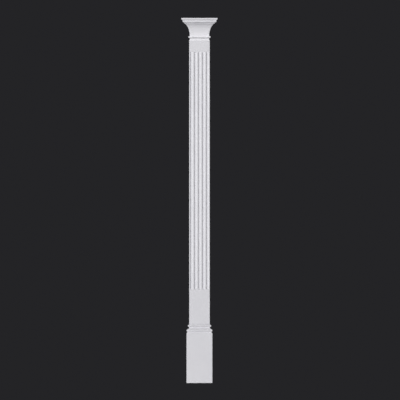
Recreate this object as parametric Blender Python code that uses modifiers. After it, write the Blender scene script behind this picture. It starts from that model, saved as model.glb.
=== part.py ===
import math

import bmesh
import bpy
from mathutils import Vector

# Pilaster of three primed mouldings for an inside wall: a plinth block with its
# base moulding, a flat shaft with stopped flutes, and a capital. Each moulding
# returns at the sides and has a flat back that is glued to the wall.
# Frame: the wall is the plane y = 0, the front looks to -y, z = 0 is the floor.
# All lengths are in metres.

# Open joint between one moulding and the next
JOINT = 0.0003

# Shaft: a flat board with softened front arrises
SHAFT_WIDTH = 0.174
SHAFT_DEPTH = 0.020
SHAFT_HEIGHT = 2.400
SHAFT_ARRIS = 0.0015

# Flutes: equal hollows with half-round ends, a plain strip left all round them
FLUTE_COUNT = 5
FLUTE_WIDTH = 0.023
FLUTE_SINK = 0.008
PLAIN_SIDE = 0.0075
PLAIN_TOP = 0.089
PLAIN_FOOT = 0.291

# Base and capital: overall sizes, and the narrow lip where each meets the shaft
BASE_WIDTH = 0.219
BASE_DEPTH = 0.045
BASE_HEIGHT = 0.500
CAPITAL_WIDTH = 0.308
CAPITAL_DEPTH = 0.085
CAPITAL_HEIGHT = 0.196
LIP_REVEAL = 0.001
LIP_RISE = 0.006

# Members of the base from the top down; the block below takes what they leave
BASE_LIP_RISE = 0.006
TORUS_OUT = 0.0085
TORUS_RISE = 0.018
COLLAR_OUT = 0.003
COLLAR_RISE = 0.0035
SCOTIA_RISE = 0.0155
FILLET_RISE = 0.0025
ROLL_RISE = 0.019
QUIRK_IN = 0.0065
QUIRK_RISE = 0.010
BLOCK_ARRIS = 0.0025

# Members of the capital from the foot up; the long hollow, or bell, takes the
# height and the reach that the members under and over it leave
NECK_IN = 0.0047
NECK_COVE = 0.007
NECK_RISE = 0.013
BEAD_RADIUS = 0.0078
BEAD_OUT = 0.007
BELL_SWEEP = math.radians(72.0)
BELL_FILLET_OUT = 0.0015
BELL_FILLET_RISE = 0.0069
BELL_LEDGE = 0.001
OVOLO_OUT = 0.011
OVOLO_RISE = 0.008
OVOLO_STEP = 0.002
BAND_IN = 0.0105
BAND_RISE = 0.0105
CROWN_OUT = 0.0145
CROWN_STEP = 0.0005
CROWN_RISE = 0.0185
TOP_RISE = 0.002
TOP_ARRIS = 0.001

# Smoothness of the curves
CORNER_ARRIS = 0.0015
CORNER_FACETS = 3
ARRIS_FACETS = 4
ARC_FACETS = 10
BELL_FACETS = 22
FLUTE_FACETS = 40
FLUTE_END_FACETS = 10
ROUND_PROFILE = 0.5
SHARP_FROM = math.radians(38.0)
LEAST_STEP = 0.0001

WHITE = (0.80, 0.79, 0.82, 1.0)
PRIMER_ROUGHNESS = 0.6


def clear_scene():
    for old in list(bpy.data.objects):
        bpy.data.objects.remove(old, do_unlink=True)


def new_group(name):
    group = bpy.data.collections.new(name)
    bpy.context.scene.collection.children.link(group)
    return group


def primed_white(name):
    finish = bpy.data.materials.new(name)
    finish.use_nodes = True
    shader = finish.node_tree.nodes["Principled BSDF"]
    shader.inputs["Base Color"].default_value = WHITE
    shader.inputs["Roughness"].default_value = PRIMER_ROUGHNESS
    shader.inputs["Metallic"].default_value = 0.0
    return finish


def finished(name, mesh, group):
    """The mesh as an object in its group, curved faces shaded smooth."""
    data = bpy.data.meshes.new(name)
    mesh.to_mesh(data)
    mesh.free()
    data.shade_smooth()
    data.set_sharp_from_angle(angle=SHARP_FROM)
    thing = bpy.data.objects.new(name, data)
    group.objects.link(thing)
    return thing


def quarter(start, end, out_first, facets):
    """Points of a quarter ellipse from start to end, without the start.

    With out_first the curve leaves the start sideways and comes to the end
    upright; without it, the other way round.
    """
    (x0, z0), (x1, z1) = start, end
    points = []
    for step in range(1, facets + 1):
        turn = math.pi / 2 * step / facets
        ahead = math.sin(turn)
        behind = 1 - math.cos(turn)
        if out_first:
            points.append((x0 + (x1 - x0) * ahead, z0 + (z1 - z0) * behind))
        else:
            points.append((x0 + (x1 - x0) * behind, z0 + (z1 - z0) * ahead))
    return points


def half_round(foot, out, rise, facets):
    """Points of a half ellipse that bulges outwards above foot, without the foot."""
    x0, z0 = foot
    points = []
    for step in range(1, facets + 1):
        turn = math.pi * step / facets
        points.append((x0 + out * math.sin(turn), z0 + rise * (1 - math.cos(turn)) / 2))
    return points


def bell(foot, head, facets):
    """The long hollow from foot to head: an ellipse that leaves the foot upright."""
    (x0, z0), (x1, z1) = foot, head
    reach = (x1 - x0) / (1 - math.cos(BELL_SWEEP))
    rise = (z1 - z0) / math.sin(BELL_SWEEP)
    points = []
    for step in range(1, facets + 1):
        turn = BELL_SWEEP * step / facets
        points.append((x0 + reach * (1 - math.cos(turn)), z0 + rise * math.sin(turn)))
    return points


def base_profile():
    """Half width and height of the base, from the floor up."""
    half = BASE_WIDTH / 2
    lip = SHAFT_WIDTH / 2 + LIP_REVEAL
    collar = lip + COLLAR_OUT
    quirk = half - QUIRK_IN
    torus_top = BASE_HEIGHT - BASE_LIP_RISE
    torus_foot = torus_top - TORUS_RISE
    collar_foot = torus_foot - COLLAR_RISE
    scotia_foot = collar_foot - SCOTIA_RISE
    roll_top = scotia_foot - FILLET_RISE
    roll_foot = roll_top - ROLL_RISE
    block_top = roll_foot - QUIRK_RISE
    points = [(half, 0.0), (half, block_top - BLOCK_ARRIS)]
    points += quarter(points[-1], (half - BLOCK_ARRIS, block_top), False, ARRIS_FACETS)
    points += [(quirk, block_top), (quirk, roll_foot)]
    points += half_round(points[-1], QUIRK_IN, ROLL_RISE, 2 * ARC_FACETS)
    points.append((quirk, scotia_foot))
    points += quarter(points[-1], (lip, collar_foot), True, ARC_FACETS)
    points += [(collar, collar_foot), (collar, torus_foot)]
    points += half_round(points[-1], TORUS_OUT, TORUS_RISE, 2 * ARC_FACETS)
    points += [(lip, torus_top), (lip, BASE_HEIGHT)]
    return points


def capital_profile():
    """Half width and height of the capital, from its foot up."""
    half = CAPITAL_WIDTH / 2
    shaft_half = SHAFT_WIDTH / 2
    lip = shaft_half + LIP_REVEAL
    neck = shaft_half - NECK_IN
    bead_seat = shaft_half + BEAD_OUT - BEAD_RADIUS
    bead_foot = LIP_RISE + NECK_COVE + NECK_RISE
    bead_top = bead_foot + 2 * BEAD_RADIUS
    band = half - BAND_IN
    ovolo = band - OVOLO_STEP
    ovolo_seat = ovolo - OVOLO_OUT
    fillet = ovolo_seat - BELL_LEDGE
    crown_top = CAPITAL_HEIGHT - TOP_RISE
    band_top = crown_top - CROWN_RISE
    band_foot = band_top - BAND_RISE
    ovolo_foot = band_foot - OVOLO_RISE
    fillet_foot = ovolo_foot - BELL_FILLET_RISE

    # lip, neck and bead, then the bell
    points = [(lip, 0.0), (lip, LIP_RISE)]
    points += quarter(points[-1], (neck, LIP_RISE + NECK_COVE), True, ARC_FACETS)
    points += [(neck, bead_foot), (bead_seat, bead_foot)]
    points += half_round(points[-1], BEAD_RADIUS, bead_top - bead_foot, 2 * ARC_FACETS)
    points.append((neck, bead_top))
    points += bell(points[-1], (fillet - BELL_FILLET_OUT, fillet_foot), BELL_FACETS)

    # fillet, ovolo and band over the bell, then the crown's ovolo and fascia
    points += [(fillet, fillet_foot), (fillet, ovolo_foot), (ovolo_seat, ovolo_foot)]
    points += quarter(points[-1], (ovolo, band_foot), True, ARC_FACETS)
    points += [(band, band_foot), (band, band_top)]
    points.append((half - CROWN_STEP - CROWN_OUT, band_top))
    points += quarter(points[-1], (half - CROWN_STEP, crown_top), True, ARC_FACETS)
    points += [(half, crown_top), (half, CAPITAL_HEIGHT - TOP_ARRIS)]
    points.append((half - TOP_ARRIS, CAPITAL_HEIGHT))
    return points


def without_doubles(points):
    """The profile without points that fall on the one before them."""
    kept = [points[0]]
    for point in points[1:]:
        if math.dist(point, kept[-1]) > LEAST_STEP:
            kept.append(point)
    return kept


def moulding_section(half, depth, height):
    """One level of a moulding that returns at both sides, seen from above."""
    centre_x = half - CORNER_ARRIS
    centre_y = CORNER_ARRIS - depth
    right = [(half, 0.0)]
    for step in range(CORNER_FACETS + 1):
        turn = math.pi / 2 * step / CORNER_FACETS
        out = CORNER_ARRIS * math.cos(turn)
        forward = CORNER_ARRIS * math.sin(turn)
        right.append((centre_x + out, centre_y - forward))
    left = [(-x, y) for x, y in reversed(right)]
    return [Vector((x, y, height)) for x, y in right + left]


def moulding(name, profile, full_width, full_depth, group):
    """A moulding lofted through its levels, its front in step with its sides.

    Side and front stand out from the shaft by unlike amounts, so each level is
    a section of its own. The back, between the ends of all the levels, is flat.
    """
    side_out = full_width / 2 - SHAFT_WIDTH / 2
    front_out = full_depth - SHAFT_DEPTH
    mesh = bmesh.new()
    levels = []
    for half, height in without_doubles(profile):
        depth = SHAFT_DEPTH + (half - SHAFT_WIDTH / 2) * front_out / side_out
        section = moulding_section(half, depth, height)
        levels.append([mesh.verts.new(point) for point in section])
    for low, high in zip(levels, levels[1:]):
        for here in range(len(low) - 1):
            ahead = here + 1
            mesh.faces.new((low[here], low[ahead], high[ahead], high[here]))
    right_edge = [level[0] for level in levels]
    left_edge = [level[-1] for level in levels]
    mesh.faces.new(levels[0])
    mesh.faces.new(levels[-1])
    mesh.faces.new(right_edge + left_edge[::-1])
    bmesh.ops.recalc_face_normals(mesh, faces=mesh.faces)
    thing = finished(name, mesh, group)
    thing.data.materials.append(primed_white(name + "_primer"))
    return thing


def plain_shaft(group):
    """The board before its flutes are cut, its back on the wall."""
    mesh = bmesh.new()
    bmesh.ops.create_cube(mesh, size=1.0)
    bmesh.ops.scale(mesh, vec=(SHAFT_WIDTH, SHAFT_DEPTH, SHAFT_HEIGHT), verts=mesh.verts)
    bmesh.ops.translate(mesh, vec=(0.0, -SHAFT_DEPTH / 2, SHAFT_HEIGHT / 2), verts=mesh.verts)
    front = [edge for edge in mesh.edges if all(v.co.y < -SHAFT_DEPTH / 2 for v in edge.verts)]
    arrises = [edge for edge in front if edge.verts[0].co.x * edge.verts[1].co.x > 0.0]
    bmesh.ops.bevel(
        mesh,
        geom=arrises,
        offset=SHAFT_ARRIS,
        offset_type="OFFSET",
        segments=CORNER_FACETS,
        profile=ROUND_PROFILE,
        affect="EDGES",
    )
    shaft = finished("shaft", mesh, group)
    shaft.data.materials.append(primed_white("shaft_primer"))
    return shaft


def flute_cutter(name, centre_x, group):
    """A turned rod with round ends, in front of the shaft and parallel to it.

    Its round ends meet the shaft's front in half circles as wide as the flute.
    """
    radius = ((FLUTE_WIDTH / 2) ** 2 + FLUTE_SINK**2) / (2 * FLUTE_SINK)
    low = PLAIN_FOOT + FLUTE_WIDTH / 2
    high = SHAFT_HEIGHT - PLAIN_TOP - FLUTE_WIDTH / 2
    outline = []
    for step in range(FLUTE_END_FACETS + 1):
        turn = math.pi / 2 * step / FLUTE_END_FACETS
        outline.append((radius * math.sin(turn), high + radius * math.cos(turn)))
    outline += [(out, low + high - level) for out, level in reversed(outline)]
    mesh = bmesh.new()
    points = [mesh.verts.new((out, 0.0, level)) for out, level in outline]
    for above, below in zip(points, points[1:]):
        mesh.edges.new((above, below))
    rod = finished(name, mesh, group)
    turned = rod.modifiers.new("turned", "SCREW")
    turned.axis = "Z"
    turned.angle = 2 * math.pi
    turned.steps = FLUTE_FACETS
    turned.render_steps = FLUTE_FACETS
    turned.use_merge_vertices = True
    turned.merge_threshold = LEAST_STEP
    rod.location = (centre_x, FLUTE_SINK - SHAFT_DEPTH - radius, 0.0)
    rod.display_type = "WIRE"
    rod.hide_render = True
    return rod


def fluted_shaft(group, cutters):
    """The shaft with its flutes spread evenly between the two side strips."""
    shaft = plain_shaft(group)
    first = PLAIN_SIDE + FLUTE_WIDTH / 2 - SHAFT_WIDTH / 2
    pitch = -2 * first / (FLUTE_COUNT - 1)
    for index in range(FLUTE_COUNT):
        rod = flute_cutter("flute_cutter_%d" % index, first + pitch * index, cutters)
        rod.parent = shaft
        cut = shaft.modifiers.new("flute_%d" % index, "BOOLEAN")
        cut.operation = "DIFFERENCE"
        cut.solver = "EXACT"
        cut.object = rod
    return shaft


def stacked(pieces, group):
    """The pieces set one on the next from the floor up, on the mark at the wall."""
    mark = bpy.data.objects.new("wall_mark", None)
    group.objects.link(mark)
    seat = 0.0
    for piece, height in pieces:
        piece.parent = mark
        piece.location.z = seat
        seat += height + JOINT


clear_scene()
pilaster = new_group("pilaster")
flute_cutters = new_group("flute_cutters")
base = moulding("base", base_profile(), BASE_WIDTH, BASE_DEPTH, pilaster)
fluted = fluted_shaft(pilaster, flute_cutters)
capital = moulding("capital", capital_profile(), CAPITAL_WIDTH, CAPITAL_DEPTH, pilaster)
stacked([(base, BASE_HEIGHT), (fluted, SHAFT_HEIGHT), (capital, CAPITAL_HEIGHT)], pilaster)
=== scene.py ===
import math

import bmesh
import bpy
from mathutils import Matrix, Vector


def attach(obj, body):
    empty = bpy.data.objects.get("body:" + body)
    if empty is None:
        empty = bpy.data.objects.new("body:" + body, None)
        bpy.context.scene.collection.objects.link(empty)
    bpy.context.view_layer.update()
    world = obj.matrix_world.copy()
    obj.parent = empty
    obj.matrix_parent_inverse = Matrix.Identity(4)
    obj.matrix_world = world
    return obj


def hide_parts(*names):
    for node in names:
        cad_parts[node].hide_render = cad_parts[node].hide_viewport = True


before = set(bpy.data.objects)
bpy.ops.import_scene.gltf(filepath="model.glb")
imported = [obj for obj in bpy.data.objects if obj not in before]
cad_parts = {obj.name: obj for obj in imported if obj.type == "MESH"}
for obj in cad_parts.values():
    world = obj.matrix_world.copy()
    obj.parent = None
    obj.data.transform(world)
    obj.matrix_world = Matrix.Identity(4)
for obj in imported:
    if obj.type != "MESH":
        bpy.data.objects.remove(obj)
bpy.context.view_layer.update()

# The visual model of a pilaster of three primed mouldings: a plinth block with its base
# moulding, a flat shaft with stopped flutes, and a capital.
# Frame, as in the CAD: the wall is the plane y = 0, the front looks to -y, z = 0 is the
# floor. All lengths are in metres.

# Open joint between one moulding and the next
JOINT = 0.0003

# Overall sizes
SHAFT_WIDTH = 0.174
SHAFT_DEPTH = 0.020
SHAFT_HEIGHT = 2.400
BASE_WIDTH = 0.219
BASE_DEPTH = 0.045
BASE_HEIGHT = 0.500
CAPITAL_WIDTH = 0.308
CAPITAL_DEPTH = 0.085
CAPITAL_HEIGHT = 0.196
FULL_HEIGHT = BASE_HEIGHT + JOINT + SHAFT_HEIGHT + JOINT + CAPITAL_HEIGHT

# Flutes: equal hollows with half-round ends, a plain strip left all round them
FLUTE_COUNT = 5
FLUTE_WIDTH = 0.023
FLUTE_SINK = 0.008
PLAIN_SIDE = 0.0075
PLAIN_TOP = 0.089
PLAIN_FOOT = 0.291

# The narrow lip where the base and the capital meet the shaft
LIP_REVEAL = 0.001
LIP_RISE = 0.006

# Members of the base from the top down; the block below takes what they leave
BASE_LIP_RISE = 0.006
TORUS_OUT = 0.0085
TORUS_RISE = 0.018
COLLAR_OUT = 0.003
COLLAR_RISE = 0.0035
SCOTIA_RISE = 0.0155
FILLET_RISE = 0.0025
ROLL_RISE = 0.019
QUIRK_IN = 0.0065
QUIRK_RISE = 0.010
BLOCK_ARRIS = 0.0025

# Members of the capital from the foot up; the long hollow, or bell, takes what they leave
NECK_IN = 0.0047
NECK_COVE = 0.007
NECK_RISE = 0.013
BEAD_RADIUS = 0.0078
BEAD_OUT = 0.007
BELL_SWEEP = math.radians(72.0)
BELL_FILLET_OUT = 0.0015
BELL_FILLET_RISE = 0.0069
BELL_LEDGE = 0.001
OVOLO_OUT = 0.011
OVOLO_RISE = 0.008
OVOLO_STEP = 0.002
BAND_IN = 0.0105
BAND_RISE = 0.0105
CROWN_OUT = 0.0145
CROWN_STEP = 0.0005
CROWN_RISE = 0.0185
TOP_RISE = 0.002

# Softness of the edges under the primer: along the profiles, at the mitred corners,
# round the flutes' lips and round the shaft's front
PROFILE_EDGE = 0.0009
CORNER_EDGE = 0.0022
FLUTE_EDGE = 0.0016
SHAFT_EDGE = 0.0016

# A corner that turns less than this is part of a curve, and stays; a softened corner
# takes no more than this share of the run on either side of it
LEAST_CORNER = math.radians(24)
MOST_OF_RUN = 0.42

# Smoothness of the curves
ARC_FACETS = 18
NECK_FACETS = 10
ARRIS_FACETS = 8
BELL_FACETS = 40
PROFILE_EDGE_FACETS = 4
CORNER_FACETS = 6
SHAFT_EDGE_FACETS = 5
FLUTE_EDGE_FACETS = 5
FLUTE_FACETS = 12
FLUTE_FLAT = 0.6  # of one facet, left level along the bottom of a flute
FLUTE_END_FACETS = 20
LEAST_STEP = 0.0001
LONGEST_RUN = 0.06
SHARP_FROM = math.radians(38)

# Primer: its tone in thin and thick places, the foam's specks, its roughness, and the
# relief of the orange peel and of the casting's slow waves
CLOUD_SCALE, CLOUD_DETAIL = 3.2, 4.0
CLOUD_TONES = (
    (0.30, (0.765, 0.758, 0.796, 1.0)),
    (0.50, (0.785, 0.778, 0.812, 1.0)),
    (0.72, (0.802, 0.796, 0.826, 1.0)),
)
SPECK_SCALE, SPECK_DETAIL = 210.0, 2.0
SPECK_TONES = (
    (0.62, (1.0, 1.0, 1.0, 1.0)),
    (0.80, (0.955, 0.950, 0.940, 1.0)),
)
ROUGH_SCALE, ROUGH_DETAIL = 24.0, 3.0
ROUGH_FROM = (0.3, 0.7)
ROUGH_TO = (0.52, 0.68)
PEEL_SCALE, PEEL_DETAIL = 330.0, 3.0
PEEL_STRENGTH, PEEL_HEIGHT = 0.14, 0.0005
WAVE_SCALE, WAVE_DETAIL = 7.0, 1.0
WAVE_STRENGTH, WAVE_HEIGHT = 0.12, 0.001
PRIMER_SPECULAR = 0.35
SEED_TO_Y = 0.37
SEED_TO_Z = 0.73

# Stage: half the floor's side, its finish, and the dark room round it
FLOOR_REACH = 60.0
FLOOR_COLOUR = (0.46, 0.46, 0.47, 1.0)
FLOOR_ROUGHNESS = 0.8
ROOM_COLOUR = (0.0175, 0.0175, 0.0195, 1.0)

# Lights: where each stands, the height on the pilaster that it faces, how wide it is
# and its watts. The two return lights stand behind the front's plane, so they light
# the sides alone.
LIGHTS = {
    "low_key": ((-10.5, -16.0, 5.0), 1.7, 1.2, 2800.0),
    "high_key": ((-10.5, -16.0, 11.8), 1.7, 1.2, 4150.0),
    "front": ((-2.0, -14.0, 9.0), 1.5, 5.0, 40.0),
    "left_return": ((-8.0, 1.5, 5.0), 1.5, 3.0, 130.0),
    "right_return": ((8.0, 1.5, 5.0), 1.5, 3.0, 190.0),
    "behind": ((2.5, 9.0, 6.0), 1.5, 4.0, 300.0),
}

# Camera: square on to the front, at the photograph's scale. In a frame of this many
# pixels the capital's top and the base's foot lie on these rows.
PIXELS = 400
TOP_ROW = 17.97
FOOT_ROW = 383.0
COLUMNS_LEFT = 0.5
EYE_DISTANCE = 12.0
CLIP_END = 100.0


def quarter(start, end, out_first, facets):
    """Points of a quarter ellipse from start to end, without the start.

    With out_first the curve leaves the start sideways and comes to the end
    upright; without it, the other way round.
    """
    (x0, z0), (x1, z1) = start, end
    points = []
    for step in range(1, facets + 1):
        turn = math.pi / 2 * step / facets
        ahead, behind = math.sin(turn), 1 - math.cos(turn)
        if out_first:
            points.append((x0 + (x1 - x0) * ahead, z0 + (z1 - z0) * behind))
        else:
            points.append((x0 + (x1 - x0) * behind, z0 + (z1 - z0) * ahead))
    return points


def half_round(foot, out, rise, facets):
    """Points of a half ellipse that bulges outwards above foot, without the foot."""
    x0, z0 = foot
    points = []
    for step in range(1, facets + 1):
        turn = math.pi * step / facets
        points.append((x0 + out * math.sin(turn), z0 + rise * (1 - math.cos(turn)) / 2))
    return points


def bell(foot, head, facets):
    """The long hollow from foot to head: an ellipse that leaves the foot upright."""
    (x0, z0), (x1, z1) = foot, head
    reach = (x1 - x0) / (1 - math.cos(BELL_SWEEP))
    rise = (z1 - z0) / math.sin(BELL_SWEEP)
    points = []
    for step in range(1, facets + 1):
        turn = BELL_SWEEP * step / facets
        points.append((x0 + reach * (1 - math.cos(turn)), z0 + rise * math.sin(turn)))
    return points


def base_profile():
    """Half width and height of the base, from the floor up."""
    half = BASE_WIDTH / 2
    lip = SHAFT_WIDTH / 2 + LIP_REVEAL
    collar = lip + COLLAR_OUT
    quirk = half - QUIRK_IN
    torus_top = BASE_HEIGHT - BASE_LIP_RISE
    torus_foot = torus_top - TORUS_RISE
    collar_foot = torus_foot - COLLAR_RISE
    scotia_foot = collar_foot - SCOTIA_RISE
    roll_top = scotia_foot - FILLET_RISE
    roll_foot = roll_top - ROLL_RISE
    block_top = roll_foot - QUIRK_RISE
    points = [(half, 0.0), (half, block_top - BLOCK_ARRIS)]
    points += quarter(points[-1], (half - BLOCK_ARRIS, block_top), False, ARRIS_FACETS)
    points += [(quirk, block_top), (quirk, roll_foot)]
    points += half_round(points[-1], QUIRK_IN, ROLL_RISE, 2 * ARC_FACETS)
    points.append((quirk, scotia_foot))
    points += quarter(points[-1], (lip, collar_foot), True, ARC_FACETS)
    points += [(collar, collar_foot), (collar, torus_foot)]
    points += half_round(points[-1], TORUS_OUT, TORUS_RISE, 2 * ARC_FACETS)
    points += [(lip, torus_top), (lip, BASE_HEIGHT)]
    return points


def capital_profile():
    """Half width and height of the capital, from its foot to the middle of its top."""
    half = CAPITAL_WIDTH / 2
    shaft_half = SHAFT_WIDTH / 2
    lip = shaft_half + LIP_REVEAL
    neck = shaft_half - NECK_IN
    bead_seat = shaft_half + BEAD_OUT - BEAD_RADIUS
    bead_foot = LIP_RISE + NECK_COVE + NECK_RISE
    bead_top = bead_foot + 2 * BEAD_RADIUS
    band = half - BAND_IN
    ovolo = band - OVOLO_STEP
    ovolo_seat = ovolo - OVOLO_OUT
    fillet = ovolo_seat - BELL_LEDGE
    crown_top = CAPITAL_HEIGHT - TOP_RISE
    band_top = crown_top - CROWN_RISE
    band_foot = band_top - BAND_RISE
    ovolo_foot = band_foot - OVOLO_RISE
    fillet_foot = ovolo_foot - BELL_FILLET_RISE

    # lip, neck and bead, then the bell
    points = [(lip, 0.0), (lip, LIP_RISE)]
    points += quarter(points[-1], (neck, LIP_RISE + NECK_COVE), True, NECK_FACETS)
    points += [(neck, bead_foot), (bead_seat, bead_foot)]
    points += half_round(points[-1], BEAD_RADIUS, bead_top - bead_foot, 2 * ARC_FACETS)
    points.append((neck, bead_top))
    points += bell(points[-1], (fillet - BELL_FILLET_OUT, fillet_foot), BELL_FACETS)

    # fillet, ovolo and band over the bell, then the crown's ovolo and the flat top
    points += [(fillet, fillet_foot), (fillet, ovolo_foot), (ovolo_seat, ovolo_foot)]
    points += quarter(points[-1], (ovolo, band_foot), True, ARC_FACETS)
    points += [(band, band_foot), (band, band_top)]
    points.append((half - CROWN_STEP - CROWN_OUT, band_top))
    points += quarter(points[-1], (half - CROWN_STEP, crown_top), True, ARC_FACETS)
    points += [(half, crown_top), (half, CAPITAL_HEIGHT), (0.0, CAPITAL_HEIGHT)]
    return points


def without_doubles(points):
    """The points without any that lies on the one before it."""
    kept = [points[0]]
    for point in points[1:]:
        if math.dist(point, kept[-1]) > LEAST_STEP:
            kept.append(point)
    return kept


def softened(points, radius, facets):
    """The profile with each sharp corner rounded, as primer and moulding leave it."""
    points = without_doubles(points)
    result = [points[0]]
    for before, here, after in zip(points, points[1:], points[2:]):
        corner = Vector(here)
        back, on = Vector(before) - corner, Vector(after) - corner
        bend = math.pi - back.angle(on)
        if bend < LEAST_CORNER:
            result.append(here)
            continue
        most = MOST_OF_RUN * min(back.length, on.length)
        cut = min(radius * math.tan(bend / 2), most)
        first, last = corner + back.normalized() * cut, corner + on.normalized() * cut
        for step in range(facets + 1):
            t = step / facets
            point = first * (1 - t) ** 2 + corner * 2 * t * (1 - t) + last * t**2
            result.append((point.x, point.y))
    result.append(points[-1])
    return result


def stretched(corners):
    """The closed outline with points set in wherever two of its corners stand far apart."""
    points = []
    for here, after in zip(corners, corners[1:] + corners[:1]):
        count = max(math.ceil(math.dist(here, after) / LONGEST_RUN), 1)
        for step in range(count):
            t = step / count
            points.append(tuple(a + (b - a) * t for a, b in zip(here, after)))
    return points


def stadium(centre_x, low, high, radius):
    """Points round a long shape with half-round ends, in the front's plane."""
    points = []
    for centre_z, start in ((high, 0.0), (low, math.pi)):
        for step in range(FLUTE_END_FACETS + 1):
            turn = start + math.pi * step / FLUTE_END_FACETS
            points.append((centre_x + radius * math.cos(turn), centre_z + radius * math.sin(turn)))
    return points


def finished(name, mesh):
    """The mesh as an object in the scene, its curved faces shaded smooth."""
    bmesh.ops.recalc_face_normals(mesh, faces=mesh.faces)
    data = bpy.data.meshes.new(name)
    mesh.to_mesh(data)
    mesh.free()
    data.shade_smooth()
    data.set_sharp_from_angle(angle=SHARP_FROM)
    thing = bpy.data.objects.new(name, data)
    bpy.context.scene.collection.objects.link(thing)
    even = thing.modifiers.new("even_normals", "WEIGHTED_NORMAL")
    even.keep_sharp = True
    even.weight = 100
    return thing


def moulding(name, profile, full_width, full_depth, seat):
    """A moulding that returns at both sides, from its profile.

    Its members stand out to the front as they do to the sides, in one proportion
    that brings the widest of them to the full depth.
    """
    forward = (full_depth - SHAFT_DEPTH) / (full_width / 2 - SHAFT_WIDTH / 2)
    mesh = bmesh.new()
    levels = []
    for half, height in profile:
        depth = SHAFT_DEPTH + (half - SHAFT_WIDTH / 2) * forward
        side = [(half, 0.0)]
        for step in range(CORNER_FACETS + 1):
            turn = math.pi / 2 * step / CORNER_FACETS
            x = half - CORNER_EDGE + CORNER_EDGE * math.cos(turn)
            side.append((x, -(depth - CORNER_EDGE + CORNER_EDGE * math.sin(turn))))
        ring = side + [(-x, y) for x, y in reversed(side)]
        levels.append([mesh.verts.new((x, y, seat + height)) for x, y in ring])
    for low, high in zip(levels, levels[1:]):
        for k in range(len(low) - 1):
            mesh.faces.new((low[k], low[k + 1], high[k + 1], high[k]))
    mesh.faces.new(levels[0])
    mesh.faces.new(levels[-1])
    right, left = [level[0] for level in levels], [level[-1] for level in levels]
    mesh.faces.new(right + left[::-1])
    return finished(name, mesh)


def flute_section():
    """Half widths of a flute and how deep each lies, from its lip to its bottom."""
    radius = ((FLUTE_WIDTH / 2) ** 2 + FLUTE_SINK**2) / (2 * FLUTE_SINK)
    steep = math.asin(FLUTE_WIDTH / 2 / radius)
    section = [(FLUTE_WIDTH / 2 + 2 * FLUTE_EDGE, 0.0)]
    for step in range(FLUTE_FACETS + 1):
        turn = steep * (1 - step / (FLUTE_FACETS + FLUTE_FLAT))
        section.append((radius * math.sin(turn), radius * math.cos(turn) - (radius - FLUTE_SINK)))
    return softened(section, FLUTE_EDGE, FLUTE_EDGE_FACETS)[1:]


def loop_of(mesh, outline, y):
    """Vertices round an outline in the plane at y."""
    return [mesh.verts.new((x, y, z)) for x, z in stretched(outline)]


def bridged(mesh, loops):
    """Faces from each closed loop to the next."""
    for one, two in zip(loops, loops[1:]):
        for k in range(len(one)):
            n = (k + 1) % len(one)
            mesh.faces.new((one[k], one[n], two[n], two[k]))


def fluted_shaft(seat):
    """The flat shaft on its seat, its flutes sunk into the front."""
    mesh = bmesh.new()
    half = SHAFT_WIDTH / 2

    # the back, the sides and the softened arrises
    rims = [(0.0, 0.0)]
    for step in range(SHAFT_EDGE_FACETS + 1):
        turn = math.pi / 2 * step / SHAFT_EDGE_FACETS
        y = -(SHAFT_DEPTH - SHAFT_EDGE + SHAFT_EDGE * math.sin(turn))
        rims.append((SHAFT_EDGE * (1 - math.cos(turn)), y))
    loops = []
    for inset, y in rims:
        x, low, high = half - inset, seat + inset, seat + SHAFT_HEIGHT - inset
        loops.append(loop_of(mesh, [(-x, low), (x, low), (x, high), (-x, high)], y))
    mesh.faces.new(loops[0])
    bridged(mesh, loops)

    # the flutes, each a nest of shrinking outlines with a level bottom
    lips = []
    low = seat + PLAIN_FOOT + FLUTE_WIDTH / 2
    high = seat + SHAFT_HEIGHT - PLAIN_TOP - FLUTE_WIDTH / 2
    first = PLAIN_SIDE + FLUTE_WIDTH / 2 - half
    pitch = -2 * first / (FLUTE_COUNT - 1)
    for index in range(FLUTE_COUNT):
        middle = first + pitch * index
        rings = [
            loop_of(mesh, stadium(middle, low, high, wide), -(SHAFT_DEPTH - deep))
            for wide, deep in flute_section()
        ]
        bridged(mesh, rings)
        mesh.faces.new(rings[-1])
        lips.append(rings[0])

    # the front between the flutes
    edges = []
    for loop in [loops[-1]] + lips:
        for k, vert in enumerate(loop):
            other = loop[(k + 1) % len(loop)]
            edges.append(mesh.edges.get((vert, other)) or mesh.edges.new((vert, other)))
    bmesh.ops.triangle_fill(mesh, use_beauty=True, use_dissolve=False, edges=edges)
    return finished("shaft_moulding", mesh)


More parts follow.
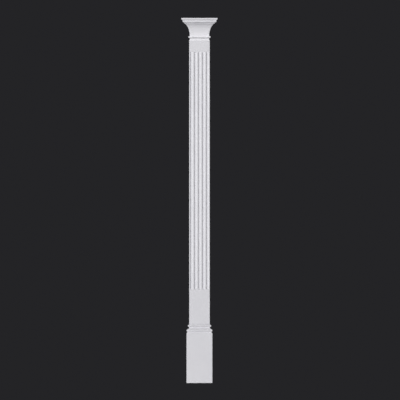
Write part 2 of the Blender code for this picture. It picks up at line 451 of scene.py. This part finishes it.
def primer(name, seed):
    """Matt white primer on moulded foam: faint unevenness, fine orange peel."""
    finish = bpy.data.materials.new(name)
    finish.use_nodes = True
    nodes, links = finish.node_tree.nodes, finish.node_tree.links
    shader = nodes["Principled BSDF"]
    shader.inputs["Metallic"].default_value = 0.0
    shader.inputs["Specular IOR Level"].default_value = PRIMER_SPECULAR

    place = nodes.new("ShaderNodeTexCoord")
    shift = nodes.new("ShaderNodeMapping")
    shift.inputs["Location"].default_value = (seed, seed * SEED_TO_Y, seed * SEED_TO_Z)
    links.new(place.outputs["Object"], shift.inputs["Vector"])

    def noise(scale, detail):
        node = nodes.new("ShaderNodeTexNoise")
        node.inputs["Scale"].default_value = scale
        node.inputs["Detail"].default_value = detail
        links.new(shift.outputs["Vector"], node.inputs["Vector"])
        return node.outputs["Fac"]

    def ramp(source, stops):
        node = nodes.new("ShaderNodeValToRGB")
        elements = node.color_ramp.elements
        for element, (position, colour) in zip(elements, (stops[0], stops[-1])):
            element.position = position
            element.color = colour
        for position, colour in stops[1:-1]:
            elements.new(position).color = colour
        links.new(source, node.inputs["Fac"])
        return node.outputs["Color"]

    def bump(source, strength, height):
        node = nodes.new("ShaderNodeBump")
        node.inputs["Strength"].default_value = strength
        node.inputs["Distance"].default_value = height
        links.new(source, node.inputs["Height"])
        return node

    # broad, faint clouds of thicker and thinner primer, and small soft specks where
    # the foam shows through a little
    tone = ramp(noise(CLOUD_SCALE, CLOUD_DETAIL), CLOUD_TONES)
    fleck = ramp(noise(SPECK_SCALE, SPECK_DETAIL), SPECK_TONES)
    both = nodes.new("ShaderNodeMix")
    both.data_type = "RGBA"
    both.blend_type = "MULTIPLY"
    both.inputs["Factor"].default_value = 1.0
    links.new(tone, both.inputs["A"])
    links.new(fleck, both.inputs["B"])
    links.new(both.outputs["Result"], shader.inputs["Base Color"])

    # the roughness wanders a little with the primer
    rough = nodes.new("ShaderNodeMapRange")
    for socket, value in zip(("From Min", "From Max", "To Min", "To Max"), ROUGH_FROM + ROUGH_TO):
        rough.inputs[socket].default_value = value
    links.new(noise(ROUGH_SCALE, ROUGH_DETAIL), rough.inputs["Value"])
    links.new(rough.outputs["Result"], shader.inputs["Roughness"])

    # fine orange peel over the slow waves of the casting
    peel = bump(noise(PEEL_SCALE, PEEL_DETAIL), PEEL_STRENGTH, PEEL_HEIGHT)
    wave = bump(noise(WAVE_SCALE, WAVE_DETAIL), WAVE_STRENGTH, WAVE_HEIGHT)
    links.new(peel.outputs["Normal"], wave.inputs["Normal"])
    links.new(wave.outputs["Normal"], shader.inputs["Normal"])
    return finish


def dress(piece, node, slot, seed):
    """The piece in its primer, in the place of its CAD node."""
    piece.data.materials.append(primer(slot + "_look", seed))
    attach(piece, "root")
    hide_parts(node)


base = moulding(
    "base_moulding",
    softened(base_profile(), PROFILE_EDGE, PROFILE_EDGE_FACETS),
    BASE_WIDTH,
    BASE_DEPTH,
    0.0,
)
dress(base, "base", "base_primer", 3.1)
shaft = fluted_shaft(BASE_HEIGHT + JOINT)
dress(shaft, "shaft", "shaft_primer", 11.7)
# the profile's last point, the middle of the flat top, only shapes the corner before it
capital = moulding(
    "capital_moulding",
    softened(capital_profile(), PROFILE_EDGE, PROFILE_EDGE_FACETS)[:-1],
    CAPITAL_WIDTH,
    CAPITAL_DEPTH,
    FULL_HEIGHT - CAPITAL_HEIGHT,
)
dress(capital, "capital", "capital_primer", 23.9)


def pale_floor():
    """A plain floor, wide enough to fill any view."""
    finish = bpy.data.materials.new("floor_pale")
    finish.use_nodes = True
    shader = finish.node_tree.nodes["Principled BSDF"]
    shader.inputs["Base Color"].default_value = FLOOR_COLOUR
    shader.inputs["Roughness"].default_value = FLOOR_ROUGHNESS
    corners = [
        (x * FLOOR_REACH, y * FLOOR_REACH, 0) for x, y in ((-1, -1), (1, -1), (1, 1), (-1, 1))
    ]
    data = bpy.data.meshes.new("floor")
    data.from_pydata(corners, [], [(0, 1, 2, 3)])
    data.materials.append(finish)
    thing = bpy.data.objects.new("floor", data)
    bpy.context.scene.collection.objects.link(thing)
    return thing


floor = pale_floor()

world = bpy.data.worlds.new("dark_room")
bpy.context.scene.world = world
world.use_nodes = True
room = world.node_tree.nodes["Background"]
room.inputs["Color"].default_value = ROOM_COLOUR
room.inputs["Strength"].default_value = 1.0


def area(name, place, faced_height, size, power):
    """A round soft light that faces the pilaster."""
    lamp = bpy.data.lights.new(name, "AREA")
    lamp.shape = "DISK"
    lamp.size = size
    lamp.energy = power
    thing = bpy.data.objects.new(name, lamp)
    bpy.context.scene.collection.objects.link(thing)
    thing.location = place
    thing.rotation_mode = "QUATERNION"
    aim = Vector((0.0, 0.0, faced_height)) - Vector(place)
    thing.rotation_quaternion = aim.to_track_quat("-Z", "Y")
    return thing


def lights_only(lamp, receivers):
    """The lamp's light falls on these pieces alone."""
    group = bpy.data.collections.new(lamp.name + "_receivers")
    for piece in receivers:
        group.objects.link(piece)
    lamp.light_linking.receiver_collection = group


lamps = {name: area(name, *values) for name, values in LIGHTS.items()}
# The picture joins mouldings that were lit apart: the light on the capital, here on
# the floor too, comes from higher up than the light on the shaft and the base.
lights_only(lamps["low_key"], (base, shaft))
lights_only(lamps["high_key"], (capital, floor))

per_pixel = FULL_HEIGHT / (FOOT_ROW - TOP_ROW)
lens = bpy.data.cameras.new("camera")
lens.type = "ORTHO"
lens.ortho_scale = PIXELS * per_pixel
lens.clip_end = CLIP_END
eye = bpy.data.objects.new("camera", lens)
bpy.context.scene.collection.objects.link(eye)
eye.location = (
    COLUMNS_LEFT * per_pixel,
    -EYE_DISTANCE,
    (FOOT_ROW - PIXELS / 2) * per_pixel,
)
eye.rotation_euler = (math.pi / 2, 0.0, 0.0)
bpy.context.scene.camera = eye
bpy.context.scene.view_settings.view_transform = "Standard"
